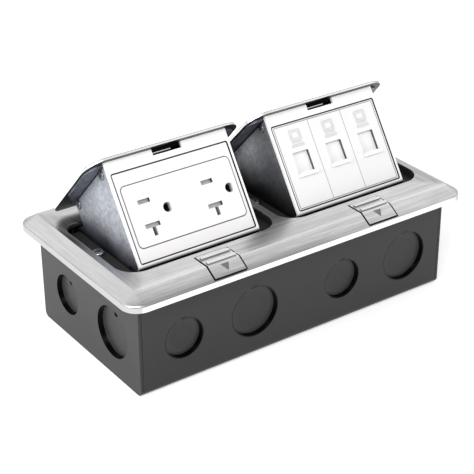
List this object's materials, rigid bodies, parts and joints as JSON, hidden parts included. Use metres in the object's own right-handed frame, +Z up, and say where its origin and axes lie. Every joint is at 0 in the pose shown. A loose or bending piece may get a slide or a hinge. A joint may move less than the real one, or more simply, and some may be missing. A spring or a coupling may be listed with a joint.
{
  "type": "floor socket box",
  "caption": "Pop-up floor socket box: steel back box, brushed stainless cover and sprung tilting modules that carry a duplex power receptacle and shuttered data sockets.",
  "frame": {"origin": "middle of the back box's underside", "axes": "+X along the box from the power module to the data module, -Y the side that the raised sockets face, +Z up out of the floor"},
  "size_m": [0.217, 0.117, 0.1109],
  "materials": {
    "box_paint": "satin charcoal paint",
    "frame_black": "black coated pressed steel",
    "stainless": "brushed stainless steel",
    "galvanised": "galvanised steel sheet",
    "zinc_hardware": "zinc-plated steel",
    "spring_steel": "spring steel wire",
    "green_screw": "green earth screw",
    "frame_white": "smooth white moulding",
    "insert_white": "warm white moulding",
    "outlet_white": "smooth white thermoset",
    "dark_plastic": "dark moulded plastic",
    "jack_plastic": "black jack moulding",
    "rubber": "soft black rubber",
    "nylon": "natural nylon",
    "brass": "brass",
    "plated_brass": "nickel-plated brass"
  },
  "bodies": {
    "box": {"box_shell": "box_paint", "box_end_left": "box_paint", "box_end_right": "box_paint", "box_divider": "frame_black", "ground_screw": "green_screw", "inner_frame": "frame_black", "frame_screws": "zinc_hardware", "cover_frame": "stainless", "cover_nuts": "zinc_hardware", "cover_gasket": "rubber", "latch_screws": "zinc_hardware", "hinge_rods": "zinc_hardware", "hinge_clips": "zinc_hardware", "hinge_washers": "nylon", "left_latch_guide": "dark_plastic", "left_latch_spring": "spring_steel", "left_hinge_springs": "spring_steel", "right_latch_guide": "dark_plastic", "right_latch_spring": "spring_steel", "right_hinge_springs": "spring_steel"},
    "left_module": {"left_lid": "stainless", "left_lid_backing": "galvanised", "left_module_housing": "galvanised", "left_cable_bushing": "rubber", "left_face_frame": "frame_white", "left_latch_keeper": "frame_black", "left_housing_screws": "zinc_hardware", "outlet_plate": "insert_white", "outlet_face": "outlet_white", "outlet_body": "dark_plastic", "outlet_hot_bus": "brass", "outlet_neutral_bus": "plated_brass", "outlet_ground_bus": "brass", "outlet_hot_screws": "brass", "outlet_neutral_screws": "plated_brass", "outlet_ground_screw": "green_screw", "outlet_strap": "galvanised", "outlet_strap_screws": "zinc_hardware"},
    "right_module": {"right_lid": "stainless", "right_lid_backing": "galvanised", "right_module_housing": "galvanised", "right_cable_bushing": "rubber", "right_face_frame": "frame_white", "right_latch_keeper": "frame_black", "right_housing_screws": "zinc_hardware", "data_carrier": "insert_white", "data_covers": "insert_white", "data_jacks": "jack_plastic", "data_contacts": "brass", "data_shutter_spring_1": "spring_steel", "data_shutter_spring_2": "spring_steel", "data_shutter_spring_3": "spring_steel"},
    "left_latch": {"left_latch_button": "stainless", "left_latch_bolt": "zinc_hardware"},
    "right_latch": {"right_latch_button": "stainless", "right_latch_bolt": "zinc_hardware"},
    "shutter_1": {"data_shutter_1": "insert_white"},
    "shutter_2": {"data_shutter_2": "insert_white"},
    "shutter_3": {"data_shutter_3": "insert_white"}
  },
  "joints": [
    {"name": "left_module_hinge", "type": "hinge", "parent": "box", "child": "left_module", "pos_m": [-0.0496, 0.0385, 0.047], "axis": [1, 0, 0], "range_deg": [0, 46], "stiffness_Nm_per_rad": 0.1, "springref_deg": -126.05, "deforming": ["left_hinge_springs"]},
    {"name": "right_module_hinge", "type": "hinge", "parent": "box", "child": "right_module", "pos_m": [0.0496, 0.0385, 0.047], "axis": [1, 0, 0], "range_deg": [0, 46], "stiffness_Nm_per_rad": 0.1, "springref_deg": -126.05, "deforming": ["right_hinge_springs"]},
    {"name": "left_latch_slide", "type": "slide", "parent": "box", "child": "left_latch", "axis": [0, -1, 0], "range_m": [0, 0.003], "stiffness_N_per_m": 300, "springref_m": -0.003, "deforming": ["left_latch_spring"]},
    {"name": "right_latch_slide", "type": "slide", "parent": "box", "child": "right_latch", "axis": [0, -1, 0], "range_m": [0, 0.003], "stiffness_N_per_m": 300, "springref_m": -0.003, "deforming": ["right_latch_spring"]},
    {"name": "shutter_1_slide", "type": "slide", "parent": "right_module", "child": "shutter_1", "axis": [0, 0.5592, 0.829], "range_m": [0, 0.011], "stiffness_N_per_m": 20, "springref_m": -0.006, "deforming": ["data_shutter_spring_1"]},
    {"name": "shutter_2_slide", "type": "slide", "parent": "right_module", "child": "shutter_2", "axis": [0, 0.5592, 0.829], "range_m": [0, 0.011], "stiffness_N_per_m": 20, "springref_m": -0.006, "deforming": ["data_shutter_spring_2"]},
    {"name": "shutter_3_slide", "type": "slide", "parent": "right_module", "child": "shutter_3", "axis": [0, 0.5592, 0.829], "range_m": [0, 0.011], "stiffness_N_per_m": 20, "springref_m": -0.006, "deforming": ["data_shutter_spring_3"]}
  ]
}
